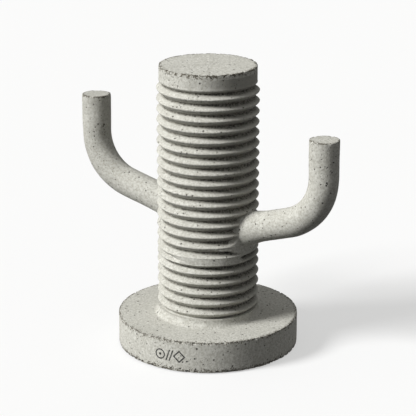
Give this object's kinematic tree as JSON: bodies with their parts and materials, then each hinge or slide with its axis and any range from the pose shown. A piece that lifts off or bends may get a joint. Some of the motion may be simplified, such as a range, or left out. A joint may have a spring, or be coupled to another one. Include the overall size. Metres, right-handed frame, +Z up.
{
  "type": "post insulator",
  "caption": "Cast concrete post with a left-hand threaded column on a round base and an upturned arm on each side, for standing on a flat surface.",
  "frame": {"origin": "centre of the foot pad's underside, on the column's axis, at floor level", "axes": "+Z up along the column; +X towards the lower (right) arm; -X towards the higher (left) arm; +Y completes a right-handed frame"},
  "size_m": [0.2479, 0.15, 0.238],
  "materials": {
    "concrete": "matte cast concrete with pinholes",
    "mortar": "matte trowelled mortar",
    "rubber": "matte black",
    "steel_bar": "mill scale",
    "steel_fixing": "zinc plated"
  },
  "bodies": {
    "root": {"base_disc": "concrete", "column": "concrete", "right_arm": "concrete", "left_arm": "concrete", "foot_pad": "rubber", "column_foot_mortar": "mortar", "groove_mortar": "mortar", "right_arm_mortar": "mortar", "left_arm_mortar": "mortar", "right_arm_bar": "steel_bar", "left_arm_bar": "steel_bar", "column_ferrule": "steel_fixing", "ferrule_pin": "steel_fixing", "base_bolt": "steel_fixing", "plain_washer": "steel_fixing", "spring_washer": "steel_fixing"}
  },
  "joints": []
}
